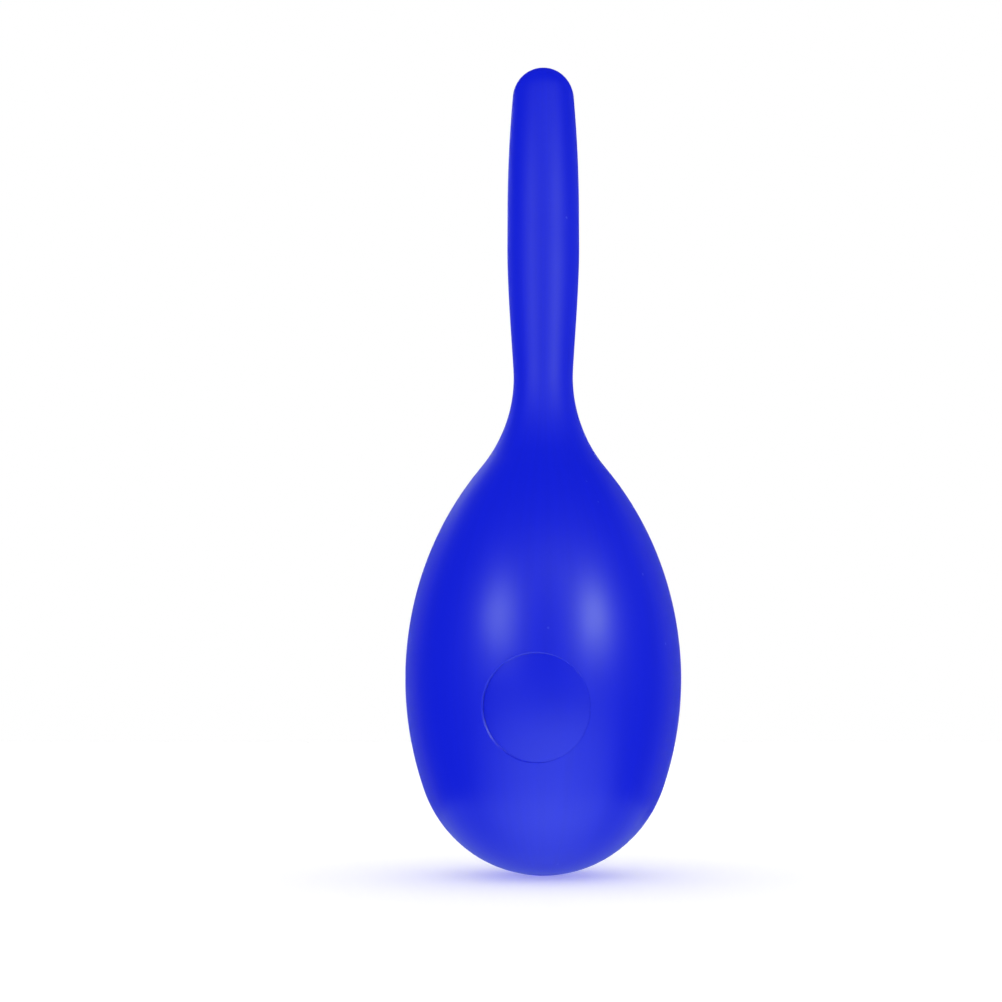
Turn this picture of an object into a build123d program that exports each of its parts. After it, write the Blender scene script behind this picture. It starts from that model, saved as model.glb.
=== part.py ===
"""Maraca: a hollow blow-moulded shell with a pressed-in fill plug and a charge of loose steel beads.

The handle points up +Z, the origin is the lowest point of the head, and the fill plug faces -Y. Millimetres.
"""

from build123d import *
from math import acos, asin, atan2, cos, degrees, pi, radians, sin, sqrt
import os

# Heights of the outline, bottom to top. Together they make the overall length of 200.
equator_height = 46.0  # lowest point of the head to its widest section
neck_rise = 72.0  # widest section to the narrowest section of the neck
handle_rise = 34.0  # neck to the start of the cylindrical grip
grip_length = 10.0
end_rise = 38.0  # top of the cylindrical grip to the tip

# Widths and curves of the outline
head_diameter = 65.0
neck_diameter = 14.6
grip_diameter = 18.1
side_radius = 77.0  # curve of the head below its widest section
throat_radius = 37.0  # hollow curve between the head and the neck
end_side_radius = 400.0  # slight barrel of the handle above the grip
neck_lead = 4.0  # how far the handle stays parallel above the neck
grip_lead = 12.0  # how far it stays parallel below the grip

wall = 2.0

# Fill port: a round seat low on the front of the head, square to the wall, with a hole in its floor
port_height = 37.3
port_turn = 3.0  # degrees from -Y towards -X
port_diameter = 22.8
port_rim = 1.8  # wall around the seat
ledge_thickness = 1.6
bore_diameter = 16.0
lip_fillet = 0.3

# Fill plug: a flange whose face carries on the curve of the head, and a hollow skirt that snaps in behind the ledge
plug_sink = 0.3  # face below the surface of the head
plug_lean_left = 2.0  # degrees that the face leans to the left of the port, so that its left edge lies deepest
plug_lean_down = 1.0  # degrees that it leans downwards
flange_depth = 4.0  # underside of the flange below the surface of the head
flange_gap = 0.1  # around the flange
face_thickness = 2.0  # over the hollow in the skirt
skirt_gap = 0.1  # around the skirt
skirt_wall = 1.2
skirt_reach = 2.2  # skirt beyond the ledge
snap_height = 0.45  # how far the snap ring stands out of the skirt
snap_gap = 0.1  # between the ledge and the snap ring
face_fillet = 0.2

# Beads: rings of balls lying in the bottom of the head
bead_diameter = 5.0
bead_rings = 3  # rings around the central bead
bead_spacing = 0.3  # between neighbours, seen from above
bead_gap = 0.2  # under each bead

# Worked out from the sizes above
head_radius = head_diameter / 2
neck_radius = neck_diameter / 2
grip_radius = grip_diameter / 2
port_radius = port_diameter / 2
bore_radius = bore_diameter / 2
bead_radius = bead_diameter / 2
neck_height = equator_height + neck_rise
grip_height = neck_height + handle_rise
end_height = grip_height + grip_length
overall_length = end_height + end_rise


def nose(base_radius, rise, flank_radius):
    """Radius of the round nose that closes a dome, and the angle at which it meets the flank.

    The flank leaves the base at right angles, and the nose is centred on the axis.
    """
    radius = (2 * base_radius * flank_radius - base_radius**2 - rise**2) / (2 * (flank_radius - rise))
    return radius, atan2(rise - radius, flank_radius - base_radius)


head_nose, head_joint = nose(head_radius, equator_height, side_radius)
tip_nose, tip_joint = nose(grip_radius, end_rise, end_side_radius)

# Shoulder and throat are two tangent arcs, both upright where they end.
narrowing = head_radius - neck_radius
both_radii = (narrowing**2 + neck_rise**2) / (2 * narrowing)
shoulder_radius = both_radii - throat_radius
shoulder_angle = acos(1 - narrowing / both_radii)


def outline(inset):
    """Half section of the maraca, from its lowest point to its tip, moved inwards by inset."""
    neck_r = neck_radius - inset
    grip_r = grip_radius - inset
    handle_points = (
        (neck_r, neck_height),
        (neck_r, neck_height + neck_lead),
        (grip_r, grip_height - grip_lead),
        (grip_r, grip_height),
    )
    joint, shoulder, tip = degrees(head_joint), degrees(shoulder_angle), degrees(tip_joint)
    return [
        CenterArc((0, head_nose), head_nose - inset, -90, 90 - joint),
        CenterArc((head_radius - side_radius, equator_height), side_radius - inset, -joint, joint),
        CenterArc((head_radius - shoulder_radius, equator_height), shoulder_radius - inset, 0, shoulder),
        CenterArc((neck_radius + throat_radius, neck_height), throat_radius + inset, 180 + shoulder, -shoulder),
        Bezier(*handle_points),
        Line((grip_r, grip_height), (grip_r, end_height)),
        CenterArc((grip_radius - end_side_radius, end_height), end_side_radius - inset, 0, tip),
        CenterArc((0, overall_length - tip_nose), tip_nose - inset, tip, 90 - tip),
        Line((0, overall_length - inset), (0, inset)),
    ]


def turned(curves):
    """Solid of revolution of a closed half section about the upright axis."""
    return revolve(Plane.XZ * make_face(curves), Axis.Z, 360)


def wall_radius(height):
    """Outer radius of the head at a height below its widest section."""
    return head_radius - side_radius + sqrt(side_radius**2 - (equator_height - height) ** 2)


def floor_height(distance, inset):
    """Height of the inset outline's lower part at a distance from the axis."""
    if distance <= (head_nose - inset) * cos(head_joint):
        return head_nose - sqrt((head_nose - inset) ** 2 - distance**2)
    return equator_height - sqrt((side_radius - inset) ** 2 - (distance + side_radius - head_radius) ** 2)


# The port's plane touches the head's surface at the port's centre and looks straight out of it.
port_tilt = asin((equator_height - port_height) / side_radius)
port_x = -sin(radians(port_turn))
port_y = -cos(radians(port_turn))
port_plane = Plane(
    origin=(port_x * wall_radius(port_height), port_y * wall_radius(port_height), port_height),
    x_dir=(-port_y, port_x, 0),
    z_dir=(port_x * cos(port_tilt), port_y * cos(port_tilt), -sin(port_tilt)),
)
ledge_depth = flange_depth + ledge_thickness


def disc(radius, shallow, deep):
    """Cylinder on the port's axis between two depths under the head's surface."""
    return port_plane * Pos(0, 0, -deep) * Cylinder(
        radius, deep - shallow, align=(Align.CENTER, Align.CENTER, Align.MIN)
    )


def port_distance(point):
    """Distance of a point from the port's axis."""
    local = port_plane.to_local_coords(point)
    return sqrt(local.X**2 + local.Y**2)


def make_body_shell():
    """Head, neck and handle in one hollow piece, with the port's seat moulded into the wall."""
    outside = turned(outline(0))
    shell = outside - turned(outline(wall))
    shell = shell + (disc(port_radius + port_rim, -port_radius, ledge_depth) & outside)
    shell = shell - disc(port_radius, -port_radius, flange_depth)
    shell = shell - disc(bore_radius, 0, ledge_depth + port_radius)
    rim_middle = port_radius + port_rim / 2
    lip = [edge for edge in shell.edges().filter_by(GeomType.BSPLINE) if port_distance(edge @ 0.5) < rim_middle]
    return fillet(lip, lip_fillet)


def make_fill_plug():
    """Flange cut out of the head's own curve, with a turned skirt and snap ring under it."""
    skirt_radius = bore_radius - skirt_gap
    skirt_end = ledge_depth + skirt_reach
    snap_top = ledge_depth + snap_gap
    lean = Pos(0, 0, -plug_sink) * Rotation(plug_lean_down, -plug_lean_left, 0)
    curve = port_plane * lean * port_plane.to_local_coords(turned(outline(0)))
    flange = curve & disc(port_radius - flange_gap, -port_radius, flange_depth)
    rim = flange.edges().filter_by(GeomType.BSPLINE)
    skirt = turned(
        Polyline(
            (0, -flange_depth),
            (skirt_radius, -flange_depth),
            (skirt_radius, -snap_top),
            (skirt_radius + snap_height, -snap_top - snap_height),
            (skirt_radius, -snap_top - 3 * snap_height),
            (skirt_radius, -skirt_end),
            (0, -skirt_end),
            (0, -flange_depth),
        )
    )
    hollow = disc(skirt_radius - skirt_wall, plug_sink + face_thickness, skirt_end)
    return fillet(rim, face_fillet) + port_plane * skirt - hollow


def make_beads():
    """One ball in the middle and rings of six, twelve, eighteen and so on around it, as in a honeycomb."""
    pitch = bead_diameter + bead_spacing
    places = [(0.0, 0.0)]
    for ring in range(1, bead_rings + 1):
        for side in range(6):
            for step in range(ring):
                start, along = side * pi / 3, (side + 2) * pi / 3
                places.append((
                    pitch * (ring * cos(start) + step * cos(along)),
                    pitch * (ring * sin(start) + step * sin(along)),
                ))
    inset = wall + bead_gap + bead_radius
    return [Pos(x, y, floor_height(sqrt(x * x + y * y), inset)) * Sphere(bead_radius) for x, y in places]


os.makedirs("parts", exist_ok=True)
export_step(make_body_shell(), "parts/body_shell.step")
export_step(make_fill_plug(), "parts/fill_plug.step")
for number, bead in enumerate(make_beads(), start=1):
    export_step(bead, f"parts/bead_{number:02d}.step")
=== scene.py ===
"""Blue plastic maraca: a blow-moulded shell, the plug that closes its fill port, and the steel shot inside.

The handle points up +Z, the fill plug faces -Y, and sizes are written in millimetres.
"""

from math import acos, asin, atan2, cos, pi, radians, sin

import bpy
import numpy as np
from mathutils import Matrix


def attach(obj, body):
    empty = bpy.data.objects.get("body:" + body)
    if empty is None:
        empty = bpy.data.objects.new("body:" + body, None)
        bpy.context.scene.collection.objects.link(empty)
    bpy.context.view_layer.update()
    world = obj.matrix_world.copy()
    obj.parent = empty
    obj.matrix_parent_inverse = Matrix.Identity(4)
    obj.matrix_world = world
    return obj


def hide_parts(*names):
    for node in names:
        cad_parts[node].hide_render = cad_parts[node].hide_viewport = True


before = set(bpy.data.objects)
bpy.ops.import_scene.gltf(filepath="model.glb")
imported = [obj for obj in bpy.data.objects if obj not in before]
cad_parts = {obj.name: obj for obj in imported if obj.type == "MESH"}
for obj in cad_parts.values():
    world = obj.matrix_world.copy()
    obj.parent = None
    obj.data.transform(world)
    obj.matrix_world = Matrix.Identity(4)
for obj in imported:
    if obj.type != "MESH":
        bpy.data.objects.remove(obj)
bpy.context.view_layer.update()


# ---------------------------------------------------------------------------------------------------------
# Body shell. Head, neck and handle are one hollow piece of blue polyethylene, blow-moulded in a two-part
# mould, with the round seat of the fill port moulded into its wall. The mould leaves a fine raised line
# where its halves meet, and a shallow groove across both ends where it pinched the soft tube shut.
# ---------------------------------------------------------------------------------------------------------

MM = 0.001

# The outline, from the lowest point of the head to the tip of the handle
head_radius = 32.5
widest_height = 46.0
flank_radius = 77.0  # curve of the head below its widest section
neck_radius = 7.3
neck_height = 118.0
throat_radius = 37.0  # hollow curve under the neck
neck_lead = 4.0  # how far the handle stays parallel above the neck
grip_radius = 9.05
grip_start = 152.0
grip_lead = 12.0  # how far the handle stays parallel below the grip
grip_end = 162.0
handle_flank = 400.0  # slight barrel above the grip
length = 200.0
wall = 2.0

# The fill port
port_height = 37.3
port_azimuth = radians(-93)
seat_radius = 11.4
seat_depth = 4.0
bore_radius = 8.0
ledge_depth = 5.6
cup_radius = 13.2  # outside of the wall round the seat, inside the head
lip_width = 0.34  # the lip round the seat is bevelled
lip_depth = 0.34
lip_rounding = 0.06
support = 0.2  # width of the narrow band that keeps the lip crisp

# How finely the shell is drawn
turns = 192  # columns round the outside
port_sides = turns // 2  # corners of each ring round the port
curve_points = 400  # on each arc of the section
search_rounds = 30  # to find the surface over a place
search_step = 0.01


def nose(base_radius, rise, side_radius):
    """Radius of the round nose that closes a dome, and the angle at which it meets the side."""
    radius = (2 * base_radius * side_radius - base_radius**2 - rise**2) / (2 * (side_radius - rise))
    return radius, atan2(rise - radius, side_radius - base_radius)


def arc(centre, radius, start, end):
    """Close points along an arc of the section."""
    angles = np.linspace(start, end, curve_points)
    return np.stack([centre[0] + radius * np.cos(angles), centre[1] + radius * np.sin(angles)], axis=1)


def section(inset):
    """Half section of the shell, as close points from the lowest to the highest, moved inwards by inset."""
    head_nose, head_joint = nose(head_radius, widest_height, flank_radius)
    tip_nose, tip_joint = nose(grip_radius, length - grip_end, handle_flank)
    narrowing = head_radius - neck_radius
    both = (narrowing**2 + (neck_height - widest_height) ** 2) / (2 * narrowing)
    shoulder_radius = both - throat_radius
    shoulder = acos(1 - narrowing / both)
    t = np.linspace(0, 1, curve_points)[:, None]
    corners = np.array([
        (neck_radius - inset, neck_height),
        (neck_radius - inset, neck_height + neck_lead),
        (grip_radius - inset, grip_start - grip_lead),
        (grip_radius - inset, grip_start),
    ])
    swell = (
        (1 - t) ** 3 * corners[0]
        + 3 * t * (1 - t) ** 2 * corners[1]
        + 3 * t**2 * (1 - t) * corners[2]
        + t**3 * corners[3]
    )
    runs = [
        arc((0, head_nose), head_nose - inset, -pi / 2, -head_joint),
        arc((head_radius - flank_radius, widest_height), flank_radius - inset, -head_joint, 0),
        arc((head_radius - shoulder_radius, widest_height), shoulder_radius - inset, 0, shoulder),
        arc((neck_radius + throat_radius, neck_height), throat_radius + inset, pi + shoulder, pi),
        swell,
        arc((grip_radius - handle_flank, grip_end), handle_flank - inset, 0, tip_joint),
        arc((0, length - tip_nose), tip_nose - inset, tip_joint, pi / 2),
    ]
    points = np.concatenate(runs)
    points[0, 0] = points[-1, 0] = 0
    step = np.hypot(*np.diff(points, axis=0).T)
    return points[np.concatenate([[True], step > 1e-6])]


outside = section(0)
port_radius_here = np.interp(port_height, outside[:, 1], outside[:, 0])
port_tilt = asin((widest_height - port_height) / flank_radius)
port_right = np.array([-sin(port_azimuth), cos(port_azimuth), 0])
port_out = np.array([cos(port_azimuth) * cos(port_tilt), sin(port_azimuth) * cos(port_tilt), -sin(port_tilt)])
port_up = np.cross(port_out, port_right)
port_centre = np.array([
    port_radius_here * cos(port_azimuth),
    port_radius_here * sin(port_azimuth),
    port_height,
])


def from_port(points):
    """Points given as right, up and out from the port's centre, as points of the maraca."""
    return port_centre + points @ np.array([port_right, port_up, port_out])


def to_port(points):
    """Points of the maraca as right, up and out from the port's centre."""
    return (points - port_centre) @ np.array([port_right, port_up, port_out]).T


def depth_of_surface(right, up, drawn):
    """How far out from the port's centre the turned section lies, over places right and up of it.

    Each round steps along the slope of the excess, the distance by which a place lies outside the section.
    """

    def excess(out):
        at = from_port(np.stack([right, up, out], axis=-1))
        return np.hypot(at[..., 0], at[..., 1]) - np.interp(at[..., 2], drawn[:, 1], drawn[:, 0])

    out = np.zeros(np.shape(right))
    for _ in range(search_rounds):
        here = excess(out)
        out = out - here * search_step / (excess(out + search_step) - here)
    return out


def skin(inset, azimuths, spacing, hole_rings, hole_radius, blend_rings):
    """Turned skin with a round hole at the port: its points, its faces, and the points round the hole.

    Rows and columns near the port bend from their straight grid into rings round the hole.
    """
    drawn = section(inset)
    along = np.concatenate([[0], np.cumsum(np.hypot(*np.diff(drawn, axis=0).T))])
    middle = np.interp(port_height, drawn[:, 1], along)
    below = round(middle / spacing)
    above = round((along[-1] - middle) / spacing)
    fine = spacing * np.array([0.15, 0.35, 0.6])  # closer rows round both poles
    rows = np.concatenate([
        fine,
        np.linspace(0, middle, below + 1)[1:],
        np.linspace(middle, along[-1], above + 1)[1:-1],
        along[-1] - fine[::-1],
    ])
    port_row = len(fine) + below - 1
    radii = np.interp(rows, along, drawn[:, 0])
    heights = np.interp(rows, along, drawn[:, 1])
    places = np.stack([
        radii[:, None] * np.cos(azimuths),
        radii[:, None] * np.sin(azimuths),
        np.repeat(heights[:, None], len(azimuths), axis=1),
    ], axis=2)
    columns = len(azimuths)
    rise, turn = np.mgrid[-blend_rings : blend_rings + 1, -blend_rings : blend_rings + 1]
    ring = np.maximum(np.abs(rise), np.abs(turn))
    bent = (ring >= hole_rings) & (ring < blend_rings)
    rise, turn, ring = rise[bent], turn[bent], ring[bent]
    share = np.where(np.abs(turn) == ring, rise, turn) / ring * pi / 4
    angle = np.select(
        [turn == ring, turn == -ring, rise == ring],
        [share, pi - share, pi / 2 - share],
        3 * pi / 2 + share,
    )
    reach = hole_radius + (ring - hole_rings) * spacing
    straight = to_port(places[port_row + rise, turn % columns])
    blend = (ring - hole_rings) / (blend_rings - hole_rings)
    eased = blend**2 * (3 - 2 * blend)
    right = (1 - eased) * reach * np.cos(angle) + eased * straight[:, 0]
    up = (1 - eased) * reach * np.sin(angle) + eased * straight[:, 1]
    out = depth_of_surface(right, up, drawn)
    places[port_row + rise, turn % columns] = from_port(np.stack([right, up, out], axis=1))
    points = np.concatenate([[(0, 0, drawn[0, 1])], places.reshape(-1, 3), [(0, 0, drawn[-1, 1])]])
    faces = []
    for column in range(columns):
        beside = (column + 1) % columns
        faces.append((0, 1 + beside, 1 + column))
        last = 1 + (len(rows) - 1) * columns
        faces.append((len(points) - 1, last + column, last + beside))
        from_middle = column if column < columns / 2 else column - columns
        in_hole = -hole_rings <= from_middle < hole_rings
        for row in range(len(rows) - 1):
            if in_hole and -hole_rings <= row - port_row < hole_rings:
                continue
            low, high = 1 + row * columns, 1 + (row + 1) * columns
            faces.append((low + column, low + beside, high + beside, high + column))
    on_edge = ring == hole_rings
    order = np.argsort(angle[on_edge])
    border = 1 + (port_row + rise[on_edge][order]) * columns + turn[on_edge][order] % columns
    return points, faces, border


def port_ring(radius, out):
    """Points of one ring round the port's axis."""
    angles = (np.arange(port_sides) / port_sides - 1 / 8) * 2 * pi
    places = np.stack([radius * np.cos(angles), radius * np.sin(angles), np.full(port_sides, out)], axis=1)
    return from_port(places)


def surface_ring(radius):
    """Points of one ring round the port's axis on the outside of the shell."""
    places = to_port(port_ring(radius, 0.0))
    places[:, 2] = depth_of_surface(places[:, 0], places[:, 1], outside)
    return from_port(places)


def rounded(start, corner, end):
    """Rings that round off the edge at a corner ring."""
    return [(1 - t) ** 2 * start + 2 * t * (1 - t) * corner + t**2 * end for t in (0, 0.25, 0.5, 0.75, 1)]


# Two close columns on each side of both parting lines, in column widths, give the raised line its shape
parting_columns = np.array([turns // 4, 3 * turns // 4])
beside_parting = (parting_columns[:, None] + np.array([-0.19, -0.08, 0.08, 0.19])).ravel()
azimuths = port_azimuth + np.sort(np.concatenate([np.arange(turns), beside_parting])) * 2 * pi / turns
points, faces, border = skin(
    inset=0,
    azimuths=azimuths,
    spacing=1.05,
    hole_rings=port_sides // 8,
    hole_radius=seat_radius + lip_width + lip_rounding + support,
    blend_rings=20,
)

# The marks of the mould fade out towards the port, so that the lip stays true
fade_start = seat_radius + 1
fade_width = 5.0
seen_from_port = to_port(points)
off_axis = np.hypot(seen_from_port[:, 0], seen_from_port[:, 1])
near_port = seen_from_port[:, 2] > -head_radius
moulded = np.where(near_port, np.clip((off_axis - fade_start) / fade_width, 0, 1), 1)

# Rings that carry the skin over the lip, down the seat and through the ledge to the inside of the head
lip_start = surface_ring(seat_radius + lip_width + lip_rounding)
lip_corner = surface_ring(seat_radius + lip_width)
lip_end = surface_ring(seat_radius) - lip_depth * port_out
lip_turned = lip_corner + (lip_end - lip_corner) * lip_rounding / lip_width
rings = [*rounded(lip_start, lip_corner, lip_turned), lip_end]
rings += [
    port_ring(radius, -depth)
    for radius, depth in (
        (seat_radius, seat_depth),
        (bore_radius, seat_depth),
        (bore_radius, ledge_depth),
        (cup_radius, ledge_depth),
    )
]
for ring in rings:
    here = len(points) + np.arange(port_sides)
    for side in range(port_sides):
        after = (side + 1) % port_sides
        faces.append((border[side], border[after], here[after], here[side]))
    points = np.concatenate([points, ring])
    border = here

inner_points, inner_faces, inner_border = skin(
    inset=wall,
    azimuths=port_azimuth + np.arange(turns // 2) * 4 * pi / turns,
    spacing=2.1,
    hole_rings=port_sides // 16,
    hole_radius=cup_radius,
    blend_rings=11,
)
inner_border = inner_border + len(points)
faces += [tuple(corner + len(points) for corner in reversed(face)) for face in inner_faces]
points = np.concatenate([points, inner_points])
for side in range(port_sides // 2):
    first, middle, last = border[2 * side], border[2 * side + 1], border[(2 * side + 2) % port_sides]
    near, far = inner_border[side], inner_border[(side + 1) % (port_sides // 2)]
    faces += [(first, middle, near), (middle, last, far), (middle, far, near)]
moulded = np.concatenate([moulded, np.zeros(len(points) - len(moulded))])
crease_angle = radians(32)  # edges that turn by more stay crisp


def piece(name, points, faces):
    """Object made of points in millimetres and faces, smooth except at its edges."""
    mesh = bpy.data.meshes.new(name)
    mesh.from_pydata((points * MM).tolist(), [], [tuple(int(corner) for corner in face) for face in faces])
    mesh.shade_smooth()
    mesh.set_sharp_from_angle(angle=crease_angle)
    made = bpy.data.objects.new(name, mesh)
    bpy.context.scene.collection.objects.link(made)
    return made


def add(tree, kind, inputs=None, **settings):
    """Adds a node with its settings; each input is a value or the output of another node."""
    node = tree.nodes.new(kind)
    for name, value in settings.items():
        setattr(node, name, value)
    for name, value in (inputs or {}).items():
        if isinstance(value, bpy.types.NodeSocket):
            tree.links.new(value, node.inputs[name])
        else:
            node.inputs[name].default_value = value
    return node


def linear(colour):
    """Linear colour of an sRGB hex value such as 1A2B3C."""
    parts = [int(colour[at : at + 2], 16) / 255 for at in (0, 2, 4)]
    return (*[c / 12.92 if c <= 0.04045 else ((c + 0.055) / 1.055) ** 2.4 for c in parts], 1)


# Blow-moulded polyethylene, pigmented right through: a soft satin from the blasted mould, faint streaks
# along the length where the melt left the die, and a few specks of pigment and dust. The grain of the
# blast is drawn 0.35 mm across, coarser than the real one, so that it shows.
shell_blue = bpy.data.materials.new("blow-moulded blue polyethylene")
shell_blue.use_nodes = True
tree = shell_blue.node_tree
tree.nodes.clear()
place = add(tree, "ShaderNodeTexCoord").outputs["Object"]
flat = add(tree, "ShaderNodeVectorMath", {0: place, 1: (1, 1, 0)}, operation="MULTIPLY").outputs[0]
around = add(tree, "ShaderNodeVectorMath", {0: flat}, operation="NORMALIZE").outputs[0]
# The streaks are 2.3 mm apart round the head and some 80 mm long
lengthways = add(tree, "ShaderNodeVectorMath", {0: place, 1: (0, 0, 12)}, operation="MULTIPLY").outputs[0]
die_place = add(
    tree, "ShaderNodeVectorMath", {0: around, 1: (14, 14, 0), 2: lengthways}, operation="MULTIPLY_ADD"
).outputs[0]
streaks = add(tree, "ShaderNodeTexNoise", {"Vector": die_place, "Scale": 1.0, "Detail": 2.0}).outputs[0]
cloud = add(tree, "ShaderNodeTexNoise", {"Vector": place, "Scale": 1 / (18 * MM), "Detail": 2.0}).outputs[0]
grain = add(tree, "ShaderNodeTexNoise", {"Vector": place, "Scale": 1 / (0.35 * MM), "Detail": 1.0}).outputs[0]
specks = add(tree, "ShaderNodeTexVoronoi", {"Vector": place, "Scale": 1 / (9 * MM)})
speck = add(
    tree,
    "ShaderNodeMapRange",
    {"Value": specks.outputs["Distance"], "From Min": 0.02, "From Max": 0.045, "To Min": 0.5, "To Max": 0.0},
).outputs[0]
pigment = add(
    tree, "ShaderNodeMix", {0: streaks, 6: linear("0D1CD5"), 7: linear("101FDF")}, data_type="RGBA"
).outputs[2]
colour = add(tree, "ShaderNodeMix", {0: speck, 6: pigment, 7: linear("5E6CF0")}, data_type="RGBA").outputs[2]
height = add(tree, "ShaderNodeSeparateXYZ", {0: place}).outputs["Z"]
roughness = 0.375
# Hands have dulled the handle from the neck up, and less so towards its tip
for first, last, wear in ((88, 118, 0.155), (140, 190, -0.11)):
    worn = add(
        tree,
        "ShaderNodeMapRange",
        {"Value": height, "From Min": first * MM, "From Max": last * MM, "To Min": 0.0, "To Max": wear},
        interpolation_type="SMOOTHSTEP",
    ).outputs[0]
    roughness = add(tree, "ShaderNodeMath", {0: roughness, 1: worn}, operation="ADD").outputs[0]
satin = add(tree, "ShaderNodeMath", {0: cloud, 1: 0.05, 2: roughness}, operation="MULTIPLY_ADD").outputs[0]
grained = add(
    tree, "ShaderNodeBump", {"Height": grain, "Strength": 0.25, "Distance": 0.02 * MM}
).outputs[0]
streaked = add(
    tree, "ShaderNodeBump", {"Height": streaks, "Strength": 0.3, "Distance": 0.04 * MM, "Normal": grained}
).outputs[0]
surface = add(
    tree,
    "ShaderNodeBsdfPrincipled",
    {"Base Color": colour, "Roughness": satin, "IOR": 1.52, "Normal": streaked},
).outputs[0]
add(tree, "ShaderNodeOutputMaterial", {"Surface": surface})

# Marks of the mould. The tree lifts the skin where the halves met, sinks it where the ends were pinched
# shut, and lets it shrink a little unevenly, as a blown wall does in cooling.
marks = bpy.data.node_groups.new("mould marks", "GeometryNodeTree")
marks.is_modifier = True
for name, kind in (
    ("Geometry", "NodeSocketGeometry"),
    ("Line height", "NodeSocketFloat"),
    ("Line half width", "NodeSocketFloat"),
    ("Pinch depth", "NodeSocketFloat"),
    ("Pinch half width", "NodeSocketFloat"),
    ("Pinch half length", "NodeSocketFloat"),
    ("Parting normal", "NodeSocketVector"),
    ("Waviness", "NodeSocketFloat"),
    ("Wave length", "NodeSocketFloat"),
    ("Seed", "NodeSocketInt"),
    ("Material", "NodeSocketMaterial"),
):
    marks.interface.new_socket(name=name, in_out="INPUT", socket_type=kind)
marks.interface.new_socket(name="Geometry", in_out="OUTPUT", socket_type="NodeSocketGeometry")
given = add(marks, "NodeGroupInput").outputs
position = add(marks, "GeometryNodeInputPosition").outputs[0]
normal = add(marks, "GeometryNodeInputNormal").outputs[0]
from_plane = add(
    marks, "ShaderNodeVectorMath", {0: position, 1: given["Parting normal"]}, operation="DOT_PRODUCT"
).outputs["Value"]
off_plane = add(marks, "ShaderNodeMath", {0: from_plane}, operation="ABSOLUTE").outputs[0]
line = add(
    marks,
    "ShaderNodeMapRange",
    {0: off_plane, 1: 0.0, 2: given["Line half width"], 3: given["Line height"], 4: 0.0},
    interpolation_type="SMOOTHSTEP",
).outputs[0]
level = add(
    marks, "ShaderNodeVectorMath", {0: position, 1: (1, 1, 0)}, operation="MULTIPLY"
).outputs[0]
off_axis = add(marks, "ShaderNodeVectorMath", {0: level}, operation="LENGTH").outputs["Value"]
across_pinch = add(
    marks,
    "ShaderNodeMapRange",
    {0: off_plane, 1: 0.0, 2: given["Pinch half width"], 3: given["Pinch depth"], 4: 0.0},
    interpolation_type="SMOOTHSTEP",
).outputs[0]
along_pinch = add(
    marks,
    "ShaderNodeMapRange",
    {0: off_axis, 1: 0.0, 2: given["Pinch half length"], 3: 1.0, 4: 0.0},
    interpolation_type="SMOOTHSTEP",
).outputs[0]
pinch = add(marks, "ShaderNodeMath", {0: across_pinch, 1: along_pinch}, operation="MULTIPLY").outputs[0]
wave_scale = add(marks, "ShaderNodeMath", {0: 1.0, 1: given["Wave length"]}, operation="DIVIDE").outputs[0]
wave = add(
    marks,
    "ShaderNodeTexNoise",
    {"Vector": position, "W": given["Seed"], "Scale": wave_scale, "Detail": 1.0},
    noise_dimensions="4D",
).outputs[0]
shrunk = add(marks, "ShaderNodeMath", {0: wave, 1: 1.0}, operation="SUBTRACT").outputs[0]
wander = add(marks, "ShaderNodeMath", {0: shrunk, 1: given["Waviness"]}, operation="MULTIPLY").outputs[0]
raised = add(marks, "ShaderNodeMath", {0: line, 1: pinch}, operation="SUBTRACT").outputs[0]
lift = add(marks, "ShaderNodeMath", {0: raised, 1: wander}, operation="ADD").outputs[0]
skin_only = add(marks, "GeometryNodeInputNamedAttribute", {"Name": "moulded"}, data_type="FLOAT").outputs[0]
masked = add(marks, "ShaderNodeMath", {0: lift, 1: skin_only}, operation="MULTIPLY").outputs[0]
offset = add(marks, "ShaderNodeVectorMath", {0: normal, "Scale": masked}, operation="SCALE").outputs[0]
moved = add(marks, "GeometryNodeSetPosition", {"Geometry": given["Geometry"], "Offset": offset}).outputs[0]
realized = add(marks, "GeometryNodeRealizeInstances", {"Geometry": moved}).outputs[0]
painted = add(
    marks, "GeometryNodeSetMaterial", {"Geometry": realized, "Material": given["Material"]}
).outputs[0]
add(marks, "NodeGroupOutput", {"Geometry": painted})

shell = piece("shell", points, faces)
shell.data.attributes.new("moulded", "FLOAT", "POINT").data.foreach_set("value", moulded.astype(np.float32))
modifier = shell.modifiers.new("mould marks", "NODES")
modifier.node_group = marks
settings = {
    "Line height": 0.06 * MM,
    "Line half width": 0.16 * MM,
    "Pinch depth": 0.25 * MM,
    "Pinch half width": 0.8 * MM,
    "Pinch half length": 7 * MM,
    "Parting normal": (cos(port_azimuth), sin(port_azimuth), 0),
    "Waviness": 0.08 * MM,
    "Wave length": 22 * MM,
    "Seed": 7,
    "Material": shell_blue,
}
for item in marks.interface.items_tree:
    if item.in_out == "INPUT" and item.name in settings:
        modifier[item.identifier] = settings[item.name]
shell.data = bpy.data.meshes.new_from_object(shell.evaluated_get(bpy.context.evaluated_depsgraph_get()))
shell.modifiers.clear()
shell.data.attributes.remove(shell.data.attributes["moulded"])
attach(shell, "maraca")
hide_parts("body_shell")


# ---------------------------------------------------------------------------------------------------------
# Fill plug. A round disc of the same plastic, injection-moulded, that closes the port once the shot is in.
# Its face carries on the curve of the head a little below it, and the skirt under it snaps in behind the
# ledge of the seat.
# ---------------------------------------------------------------------------------------------------------

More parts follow.
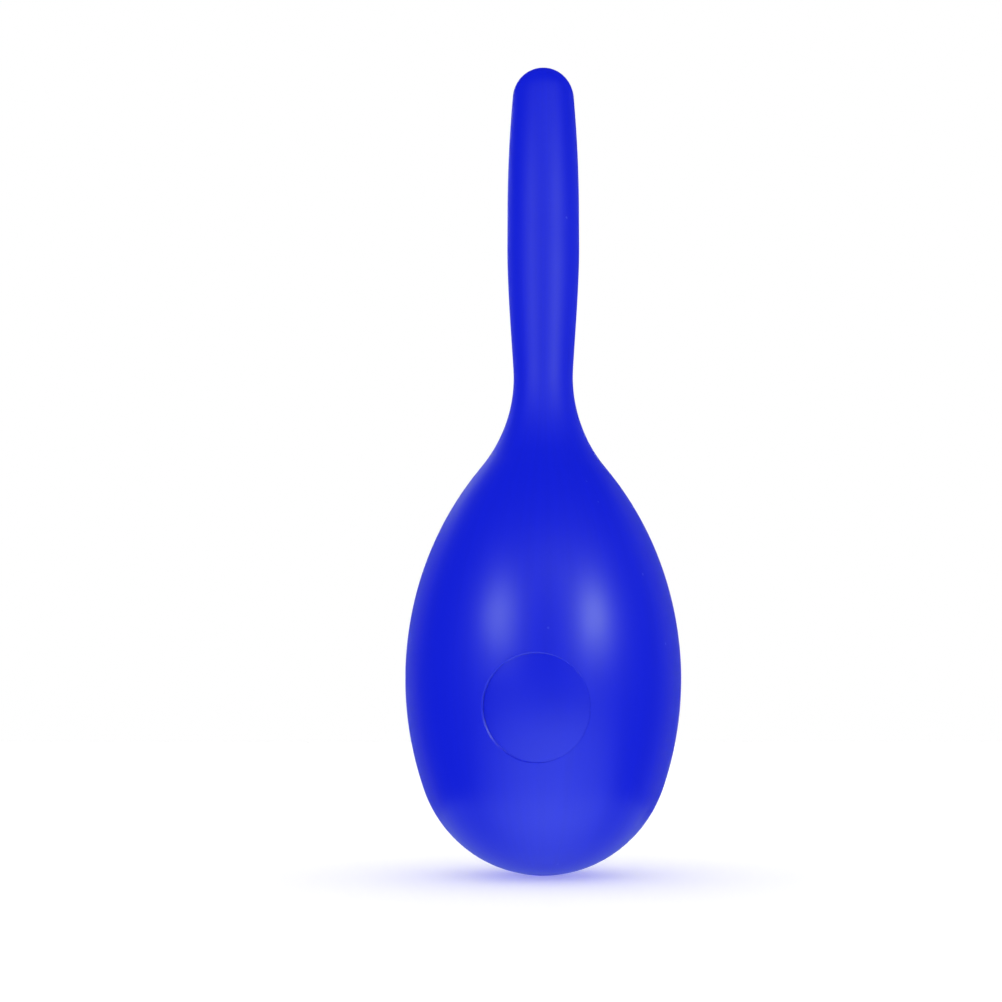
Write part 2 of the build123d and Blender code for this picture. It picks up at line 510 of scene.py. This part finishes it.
plug_fit = 0.015  # gap all round in the seat
plug_sink = 0.22  # face below the curve of the head
lean_left = radians(1.4)  # the left edge of the face lies deepest
lean_up = radians(0.4)
plug_rounding = 0.05
skirt_radius = 7.9
skirt_wall = 1.2
skirt_end = 7.8
snap_out = 0.45  # how far the snap ring stands out of the skirt
snap_depth = 5.7  # this and the other depths count from the port's centre, on the curve of the head
face_thickness = 2.0  # over the hollow in the skirt
centre_ring = 1.1  # radius of the innermost ring of the face
face_rings = 10
lean_rounds = 12  # to find the place on the level curve that the lean brings to each point
rim_halvings = 20  # to find where the rim meets the lip


def face_ring(radius):
    """Points of one ring round the port's axis on the face of the plug."""
    goal = to_port(port_ring(radius, 0.0))[:, :2]
    tip = np.array([[1, 0, 0], [0, cos(lean_up), sin(lean_up)], [0, -sin(lean_up), cos(lean_up)]])
    roll = np.array([[cos(lean_left), 0, -sin(lean_left)], [0, 1, 0], [sin(lean_left), 0, cos(lean_left)]])
    source = goal.copy()
    for _ in range(lean_rounds):
        out = depth_of_surface(source[:, 0], source[:, 1], outside)
        leaned = np.column_stack([source, out]) @ (tip @ roll).T - (0, 0, plug_sink)
        source += goal - leaned[:, :2]
    return from_port(np.column_stack([goal, leaned[:, 2]]))


# The rim of the face lies on the bevelled lip where it is high, and inside the straight seat where it is low
low, high = np.zeros(port_sides), np.ones(port_sides)
for _ in range(rim_halvings):
    share = (low + high) / 2
    on_lip = to_port(lip_end + (lip_corner - lip_end) * share[:, None])[:, 2]
    above = to_port(face_ring(seat_radius + lip_width * share))[:, 2] > on_lip
    low, high = np.where(above, share, low), np.where(above, high, share)
rim_radius = seat_radius + lip_width * share - plug_fit
rim_start = face_ring(rim_radius - plug_rounding)
rim_corner = face_ring(rim_radius)
rim_end = rim_corner - plug_rounding * port_out
face_radii = np.linspace(centre_ring, seat_radius - 3 * plug_rounding - support, face_rings)
rings = [face_ring(radius) for radius in (*face_radii, rim_radius - 2 * plug_rounding)]
rings += rounded(rim_start, rim_corner, rim_end)
taper_end = port_ring(seat_radius - plug_fit, 0.0)
below_lip = np.minimum(to_port(rim_end)[:, 2] - plug_rounding, to_port(lip_end)[:, 2] - 2 * plug_fit)
rings.append(taper_end + below_lip[:, None] * port_out)
rings += [
    port_ring(radius, -depth)
    for radius, depth in (
        (seat_radius - plug_fit, seat_depth),
        (skirt_radius, seat_depth),
        (skirt_radius, snap_depth),
        (skirt_radius + snap_out, snap_depth + snap_out),
        (skirt_radius, snap_depth + 3 * snap_out),
        (skirt_radius, skirt_end),
        (skirt_radius - skirt_wall, skirt_end),
        (skirt_radius - skirt_wall, plug_sink + face_thickness),
    )
]
points = np.concatenate([
    face_ring(0.0)[:1],
    *rings,
    port_ring(0.0, -plug_sink - face_thickness)[:1],
])
faces = []
for side in range(port_sides):
    after = (side + 1) % port_sides
    faces.append((0, 1 + side, 1 + after))
    for ring in range(len(rings) - 1):
        inner, outer = 1 + ring * port_sides, 1 + (ring + 1) * port_sides
        faces.append((inner + side, outer + side, outer + after, inner + after))
    faces.append((len(points) - 1, outer + after, outer + side))
plug = piece("plug", points, faces)

# Injection-moulded polyethylene of the same blue, a touch smoother than the blown shell. Its grain is drawn
# 0.3 mm across, coarser than the real one, so that it shows.
plug_blue = bpy.data.materials.new("injection-moulded blue polyethylene")
plug_blue.use_nodes = True
tree = plug_blue.node_tree
tree.nodes.clear()
place = add(tree, "ShaderNodeTexCoord").outputs["Object"]
cloud = add(tree, "ShaderNodeTexNoise", {"Vector": place, "Scale": 1 / (9 * MM), "Detail": 2.0}).outputs[0]
grain = add(tree, "ShaderNodeTexNoise", {"Vector": place, "Scale": 1 / (0.3 * MM), "Detail": 1.0}).outputs[0]
pigment = add(
    tree, "ShaderNodeMix", {0: cloud, 6: linear("0D1CD5"), 7: linear("101FDF")}, data_type="RGBA"
).outputs[2]
satin = add(tree, "ShaderNodeMath", {0: cloud, 1: 0.05, 2: 0.3}, operation="MULTIPLY_ADD").outputs[0]
grained = add(
    tree, "ShaderNodeBump", {"Height": grain, "Strength": 0.2, "Distance": 0.02 * MM}
).outputs[0]
surface = add(
    tree,
    "ShaderNodeBsdfPrincipled",
    {"Base Color": pigment, "Roughness": satin, "IOR": 1.52, "Normal": grained},
).outputs[0]
add(tree, "ShaderNodeOutputMaterial", {"Surface": surface})
plug.data.materials.append(plug_blue)
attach(plug, "maraca")
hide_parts("fill_plug")


# ---------------------------------------------------------------------------------------------------------
# Beads. Loose steel shot in the head, poured in through the port, which makes the sound. Each ball is a
# body of its own and keeps its solid.
# ---------------------------------------------------------------------------------------------------------

# Tumbled carbon steel: bright, with a faint frosting where the balls have rubbed against each other.
shot_steel = bpy.data.materials.new("tumbled steel shot")
shot_steel.use_nodes = True
tree = shot_steel.node_tree
tree.nodes.clear()
place = add(tree, "ShaderNodeTexCoord").outputs["Object"]
rub = add(tree, "ShaderNodeTexNoise", {"Vector": place, "Scale": 1 / (1.5 * MM), "Detail": 3.0}).outputs[0]
metal = add(
    tree, "ShaderNodeMix", {0: rub, 6: linear("A8A6A2"), 7: linear("C6C4BF")}, data_type="RGBA"
).outputs[2]
frosting = add(tree, "ShaderNodeMapRange", {"Value": rub, "To Min": 0.18, "To Max": 0.4}).outputs[0]
surface = add(
    tree, "ShaderNodeBsdfPrincipled", {"Base Color": metal, "Roughness": frosting, "Metallic": 1.0}
).outputs[0]
add(tree, "ShaderNodeOutputMaterial", {"Surface": surface})
for name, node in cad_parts.items():
    if name.startswith("bead_"):
        for slot in node.material_slots:
            slot.material = shot_steel


# ---------------------------------------------------------------------------------------------------------
# Floor, grey hood and light. A plain white floor runs to a white surround. A closed grey hood, seen
# only in the gloss, keeps that white out of it, and soft boxes in the hood make the gleams.
# ---------------------------------------------------------------------------------------------------------


def stage_piece(name, points, faces, material):
    """Object of the studio, in metres."""
    mesh = bpy.data.meshes.new(name)
    mesh.from_pydata(points, [], faces)
    mesh.materials.append(material)
    made = bpy.data.objects.new(name, mesh)
    bpy.context.scene.collection.objects.link(made)
    return made


def square(reach, height):
    """Corners of a level square round the axis, in metres."""
    return [(x * reach, y * reach, height) for x, y in ((-1, -1), (1, -1), (1, 1), (-1, 1))]


def seen_ray(tree):
    """1 on rays that see the background directly, in gloss or through a clear piece, else 0."""
    rays = add(tree, "ShaderNodeLightPath").outputs
    seen = add(tree, "ShaderNodeMath", {0: rays["Is Camera Ray"], 1: rays["Is Glossy Ray"]}, operation="ADD")
    return add(
        tree,
        "ShaderNodeMath",
        {0: seen.outputs[0], 1: rays["Is Transmission Ray"]},
        operation="ADD",
        use_clamp=True,
    ).outputs[0]


# Matt white painted board
board = bpy.data.materials.new("white board")
board.use_nodes = True
board.cycles.emission_sampling = "NONE"
tree = board.node_tree
tree.nodes.clear()
matt = add(tree, "ShaderNodeBsdfDiffuse", {"Color": linear("E6E6E6")}).outputs[0]
glow = add(tree, "ShaderNodeEmission", {"Strength": 0.3}).outputs[0]
dark = add(tree, "ShaderNodeEmission", {"Strength": 0.0}).outputs[0]
lifted = add(tree, "ShaderNodeMixShader", {0: seen_ray(tree), 1: dark, 2: glow}).outputs[0]
both = add(tree, "ShaderNodeAddShader", {0: matt, 1: lifted}).outputs[0]
add(tree, "ShaderNodeOutputMaterial", {"Surface": both})
floor = stage_piece("floor", square(reach=6.0, height=0), [(0, 1, 2, 3)], board)
floor.visible_diffuse = False
floor.visible_shadow = False

# Grey cloth of the hood and of the card under it, which both show only in the gloss, so that they keep no
# light from the maraca
cloth = bpy.data.materials.new("grey cloth")
cloth.use_nodes = True
cloth.node_tree.nodes.clear()
surface = add(cloth.node_tree, "ShaderNodeBsdfDiffuse", {"Color": linear("242424")}).outputs[0]
add(cloth.node_tree, "ShaderNodeOutputMaterial", {"Surface": surface})
hood_radius = 1.4
hood_steps = 32
card_lift = 0.0003  # above the floor
hood_points, hood_faces = [], []
for step in range(hood_steps + 1):
    azimuth = -pi / 2 + pi * (2 * step / hood_steps - 1)
    for lift in range(hood_steps + 1):
        elevation = pi / 2 * lift / hood_steps
        hood_points.append((
            hood_radius * cos(elevation) * cos(azimuth),
            hood_radius * cos(elevation) * sin(azimuth),
            hood_radius * sin(elevation),
        ))
        if step and lift:
            here = len(hood_points) - 1
            hood_faces.append((here, here - 1, here - hood_steps - 2, here - hood_steps - 1))
hood = stage_piece("hood", hood_points, hood_faces, cloth)
low_card = stage_piece("low card", square(hood_radius, card_lift), [(0, 1, 2, 3)], cloth)
for gloss_only in (hood, low_card):
    gloss_only.visible_camera = False
    gloss_only.visible_diffuse = False
    gloss_only.visible_shadow = False

# Even light from all round. These two lamps light the pigment only and leave no gleam in the gloss.
for name, tilt in (("fill from above", 0), ("fill from below", 180)):
    lamp = bpy.data.lights.new(name, "SUN")
    lamp.angle = pi
    lamp.energy = 3.2
    lamp.cycles.use_multiple_importance_sampling = False
    fill = bpy.data.objects.new(name, lamp)
    fill.rotation_euler = (radians(tilt), 0, 0)
    fill.visible_camera = False
    fill.visible_glossy = False
    bpy.context.scene.collection.objects.link(fill)

# Soft boxes that make the gleams, each aimed at the middle of the head: where they stand, in degrees from
# the front and above the middle of the head, their size in metres and their brightness
middle_of_head = np.array([0, 0, widest_height * MM])
box_distance = 0.5
for name, azimuth, elevation, across, high, brightness in (
    ("left soft box", -36.3, 20.2, 0.139, 0.06, 21.4),
    ("right soft box", 42.2, 19.5, 0.139, 0.06, 28.8),
    ("wide front light", 8, 38, 0.342, 0.118, 1.12),
    ("left back light", -144, 6, 0.35, 0.6, 0.28),
    ("right back light", 138, 6, 0.5, 0.7, 0.22),
    ("high back light", -165, 36, 0.4, 0.2, 0.6),
):
    direction = np.array([
        sin(radians(azimuth)) * cos(radians(elevation)),
        -cos(radians(azimuth)) * cos(radians(elevation)),
        sin(radians(elevation)),
    ])
    lamp = bpy.data.lights.new(name, "AREA")
    lamp.shape = "RECTANGLE"
    lamp.size = across
    lamp.size_y = high
    lamp.energy = brightness * pi * across * high
    lamp.cycles.use_multiple_importance_sampling = False
    lamp.color = linear("EEFFD2")[:3]
    box = bpy.data.objects.new(name, lamp)
    box.location = middle_of_head + box_distance * direction
    box.rotation_euler = (radians(90 - elevation), 0, radians(azimuth))
    box.visible_camera = False
    box.visible_diffuse = False
    bpy.context.scene.collection.objects.link(box)

# A low opal panel on the floor shines up into the front of the head. It is brightest a little ahead of the
# foot, just right of the middle, and fades away on all sides. It lies just above the card, and the foot
# light just above both.
opal = bpy.data.materials.new("opal light panel")
opal.use_nodes = True
opal.cycles.emission_sampling = "FRONT"
tree = opal.node_tree
tree.nodes.clear()
place = add(tree, "ShaderNodeTexCoord").outputs["Object"]
across, ahead = add(tree, "ShaderNodeSeparateXYZ", {0: place}).outputs[:2]
aside = add(tree, "ShaderNodeMath", {0: across, 1: ahead}, operation="DIVIDE").outputs[0]
shifted = add(tree, "ShaderNodeMath", {0: aside, 1: 0.2}, operation="ADD").outputs[0]
off_middle = add(tree, "ShaderNodeMath", {0: shifted}, operation="ABSOLUTE").outputs[0]
strength = 1.9
# Each fade runs between two places and between two shares of the strength
for value, start, end, first, last in (
    (ahead, -260 * MM, -55 * MM, 0.22, 1.0),
    (ahead, -32 * MM, -12 * MM, 1.0, 0.1),
    (off_middle, 0.0, 1.75, 1.0, 0.0),
):
    fade = add(
        tree,
        "ShaderNodeMapRange",
        {"Value": value, "From Min": start, "From Max": end, "To Min": first, "To Max": last},
        interpolation_type="SMOOTHSTEP",
    ).outputs[0]
    strength = add(tree, "ShaderNodeMath", {0: strength, 1: fade}, operation="MULTIPLY").outputs[0]
surface = add(tree, "ShaderNodeEmission", {"Color": linear("E6FFB5"), "Strength": strength}).outputs[0]
add(tree, "ShaderNodeOutputMaterial", {"Surface": surface})
panel_side, panel_near, panel_far = 0.2, 0.012, 0.32
panel_lift = 1.5 * card_lift
panel_points = [
    (panel_side, -panel_far, panel_lift),
    (panel_side, -panel_near, panel_lift),
    (-panel_side, -panel_near, panel_lift),
    (-panel_side, -panel_far, panel_lift),
]
low_panel = stage_piece("low panel", panel_points, [(0, 1, 2, 3)], opal)
low_panel.visible_camera = False
low_panel.visible_diffuse = False
low_panel.visible_shadow = False

# A round light under the head shines up into its foot
lamp = bpy.data.lights.new("foot light", "AREA")
lamp.shape = "DISK"
lamp.size = 0.094
lamp.energy = 0.46 * pi * lamp.size**2 * pi / 4
lamp.color = linear("E6FFB5")[:3]
foot_light = bpy.data.objects.new("foot light", lamp)
foot_light.location = (0, 0, 2 * card_lift)
foot_light.rotation_euler = (pi, 0, 0)
foot_light.visible_camera = False
foot_light.visible_diffuse = False
bpy.context.scene.collection.objects.link(foot_light)

# The surround is white to the eye and in clear gloss, and gives no light of its own
surround = bpy.data.worlds.new("white surround")
surround.use_nodes = True
surround.cycles.sampling_method = "NONE"
tree = surround.node_tree
tree.nodes.clear()
light = add(tree, "ShaderNodeBackground", {"Color": linear("FFFFFF"), "Strength": 0.0}).outputs[0]
shown = add(tree, "ShaderNodeBackground", {"Color": linear("FFFFFF"), "Strength": 1.0}).outputs[0]
mixed = add(tree, "ShaderNodeMixShader", {0: seen_ray(tree), 1: light, 2: shown}).outputs[0]
add(tree, "ShaderNodeOutputWorld", {"Surface": mixed})
bpy.context.scene.world = surround


# ---------------------------------------------------------------------------------------------------------
# Camera. It stands in front of the plug, a little below the middle of the head, and looks up at the
# middle of the maraca; the shift sets the maraca right of and above the middle of the picture.
# ---------------------------------------------------------------------------------------------------------

look_up = radians(11.6)
distance = 340.1
camera_data = bpy.data.cameras.new("camera")
camera_data.lens = 50
camera_data.sensor_width = 36
camera_data.shift_x = -0.0421
camera_data.shift_y = -0.0516
camera_data.clip_start = 0.01
camera = bpy.data.objects.new("camera", camera_data)
camera.location = (0, -distance * cos(look_up) * MM, (length / 2 - distance * sin(look_up)) * MM)
camera.rotation_euler = (pi / 2 + look_up, 0, 0)
bpy.context.scene.collection.objects.link(camera)
bpy.context.scene.camera = camera
bpy.context.scene.view_settings.view_transform = "Standard"
